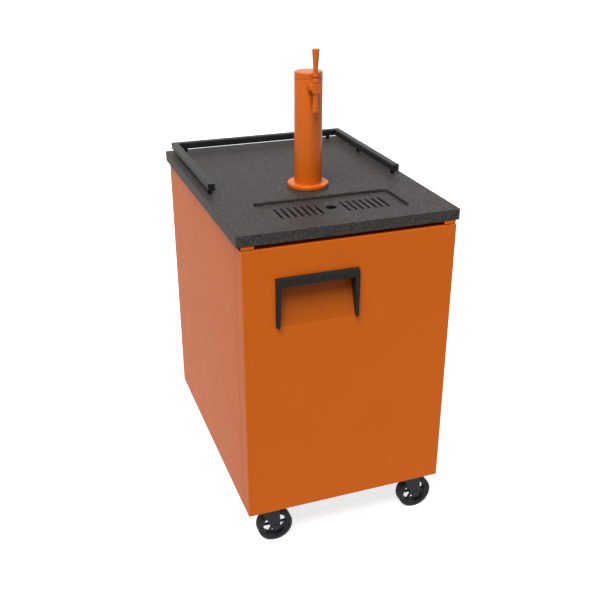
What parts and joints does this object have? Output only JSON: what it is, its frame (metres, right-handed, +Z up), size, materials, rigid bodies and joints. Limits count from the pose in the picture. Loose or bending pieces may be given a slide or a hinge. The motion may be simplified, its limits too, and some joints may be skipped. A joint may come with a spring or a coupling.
{
  "type": "kegerator",
  "caption": "Single-keg beer cooler on casters with a full-height hinged door, worktop with drip tray and guard rail, and a beer tower with a tap.",
  "frame": {"origin": "on the floor under the middle of the whole object's box", "axes": "+Z up, +X to the user's right, -Y towards the user (the door side)"},
  "size_m": [0.6, 0.82, 1.334],
  "materials": {
    "cabinet_paint": "satin orange powder coat",
    "tower_paint": "semi-gloss orange powder coat",
    "worktop_black": "fine textured black coat",
    "rail_black": "satin black coat",
    "caster_steel": "black zinc plate",
    "caster_core": "moulded black nylon",
    "caster_tyre": "moulded tread",
    "black_plastic": "moulded, fine grain",
    "liner_plastic": "moulded white",
    "foam": "cut foam",
    "core_board": "sealed board",
    "stainless": "brushed",
    "galvanised_sheet": "galvanised",
    "brass_nut": "turned",
    "copper_tube": "drawn copper",
    "coil_aluminium": "fins",
    "compressor_enamel": "black enamel",
    "fan_plastic": "moulded",
    "seal_rubber": "extruded",
    "hose_vinyl": "clear vinyl",
    "white_nylon": "moulded"
  },
  "bodies": {
    "cabinet": {"base_pan": "galvanised_sheet", "breaker_frame": "black_plastic", "caster_plates": "caster_steel", "compressor": "compressor_enamel", "condenser_coil": "coil_aluminium", "condenser_fan_motor": "compressor_enamel", "counter_core": "core_board", "countertop": "worktop_black", "coupling_nut": "tower_paint", "drain_hose": "hose_vinyl", "drip_pan": "stainless", "evaporator_coil": "coil_aluminium", "evaporator_cover": "liner_plastic", "evaporator_fan_motor": "compressor_enamel", "faucet_body": "tower_paint", "faucet_bonnet": "tower_paint", "faucet_shank": "tower_paint", "foam_boards": "foam", "guard_rail": "rail_black", "hinge_brackets": "cabinet_paint", "hinge_pins": "stainless", "keg_floor_plate": "stainless", "keg_liner": "liner_plastic", "left_side_panel": "cabinet_paint", "rear_grille": "cabinet_paint", "refrigerant_lines": "copper_tube", "right_side_panel": "cabinet_paint", "shank_collar": "tower_paint", "shank_nut": "brass_nut", "thermostat_box": "liner_plastic", "tower_cap": "tower_paint", "tower_column": "tower_paint", "tower_flange": "tower_paint", "tower_seal": "seal_rubber"},
    "door": {"door_outer_panel": "cabinet_paint", "door_foam": "foam", "door_inner_panel": "liner_plastic", "door_gasket": "seal_rubber", "door_scoop": "cabinet_paint", "door_handle": "black_plastic", "hinge_bushes": "white_nylon"},
    "drip_grate": {"drip_grate": "worktop_black"},
    "lever": {"faucet_lever": "tower_paint", "tap_handle": "tower_paint"},
    "plunger": {"faucet_plunger": "stainless"},
    "condenser_rotor": {"condenser_fan": "fan_plastic"},
    "evaporator_rotor": {"evaporator_fan": "fan_plastic"},
    "thermostat_dial": {"thermostat_knob": "black_plastic"},
    "fork_front_left": {"caster_fork_front_left": "caster_steel"},
    "wheel_front_left": {"caster_core_front_left": "caster_core", "caster_tyre_front_left": "caster_tyre"},
    "fork_front_right": {"caster_fork_front_right": "caster_steel"},
    "wheel_front_right": {"caster_core_front_right": "caster_core", "caster_tyre_front_right": "caster_tyre"},
    "fork_rear_left": {"caster_fork_rear_left": "caster_steel"},
    "wheel_rear_left": {"caster_core_rear_left": "caster_core", "caster_tyre_rear_left": "caster_tyre"},
    "fork_rear_right": {"caster_fork_rear_right": "caster_steel"},
    "wheel_rear_right": {"caster_core_rear_right": "caster_core", "caster_tyre_rear_right": "caster_tyre"}
  },
  "joints": [
    {"name": "door_hinge", "type": "hinge", "parent": "cabinet", "child": "door", "pos_m": [0.274, -0.382, 0.5], "axis": [0, 0, 1], "range_deg": [0, 110]},
    {"name": "drip_grate_lift", "type": "slide", "parent": "cabinet", "child": "drip_grate", "axis": [0, 0, 1], "range_m": [0, 0.12]},
    {"name": "tap_lever", "type": "hinge", "parent": "cabinet", "child": "lever", "pos_m": [0, -0.129, 1.255], "axis": [1, 0, 0], "range_deg": [0, 25]},
    {"name": "plunger_slide", "type": "slide", "parent": "cabinet", "child": "plunger", "axis": [0, 1, 0], "range_m": [0, 0.0076]},
    {"name": "condenser_fan_spin", "type": "hinge", "parent": "cabinet", "child": "condenser_rotor", "pos_m": [0.145, 0.302, 0.262], "axis": [0, 1, 0], "continuous": true},
    {"name": "evaporator_fan_spin", "type": "hinge", "parent": "cabinet", "child": "evaporator_rotor", "pos_m": [0.118, 0.1068, 0.7508], "axis": [0, 1, 0], "continuous": true},
    {"name": "thermostat_turn", "type": "hinge", "parent": "cabinet", "child": "thermostat_dial", "pos_m": [0.216, 0.1288, 0.8148], "axis": [0, -1, 0], "range_deg": [0, 270]},
    {"name": "swivel_front_left", "type": "hinge", "parent": "cabinet", "child": "fork_front_left", "pos_m": [-0.222, -0.352, 0.11], "axis": [0, 0, 1], "continuous": true},
    {"name": "roll_front_left", "type": "hinge", "parent": "fork_front_left", "child": "wheel_front_left", "pos_m": [-0.203, -0.352, 0.051], "axis": [0, 1, 0], "continuous": true},
    {"name": "swivel_front_right", "type": "hinge", "parent": "cabinet", "child": "fork_front_right", "pos_m": [0.222, -0.352, 0.11], "axis": [0, 0, 1], "continuous": true},
    {"name": "roll_front_right", "type": "hinge", "parent": "fork_front_right", "child": "wheel_front_right", "pos_m": [0.241, -0.352, 0.051], "axis": [0, 1, 0], "continuous": true},
    {"name": "swivel_rear_left", "type": "hinge", "parent": "cabinet", "child": "fork_rear_left", "pos_m": [-0.222, 0.365, 0.11], "axis": [0, 0, 1], "continuous": true},
    {"name": "roll_rear_left", "type": "hinge", "parent": "fork_rear_left", "child": "wheel_rear_left", "pos_m": [-0.203, 0.365, 0.051], "axis": [0, 1, 0], "continuous": true},
    {"name": "swivel_rear_right", "type": "hinge", "parent": "cabinet", "child": "fork_rear_right", "pos_m": [0.222, 0.365, 0.11], "axis": [0, 0, 1], "continuous": true},
    {"name": "roll_rear_right", "type": "hinge", "parent": "fork_rear_right", "child": "wheel_rear_right", "pos_m": [0.241, 0.365, 0.051], "axis": [0, 1, 0], "continuous": true}
  ],
  "couplings": [
    {"joint": "plunger_slide", "follows": "tap_lever", "m_per_rad": 0.0174}
  ]
}
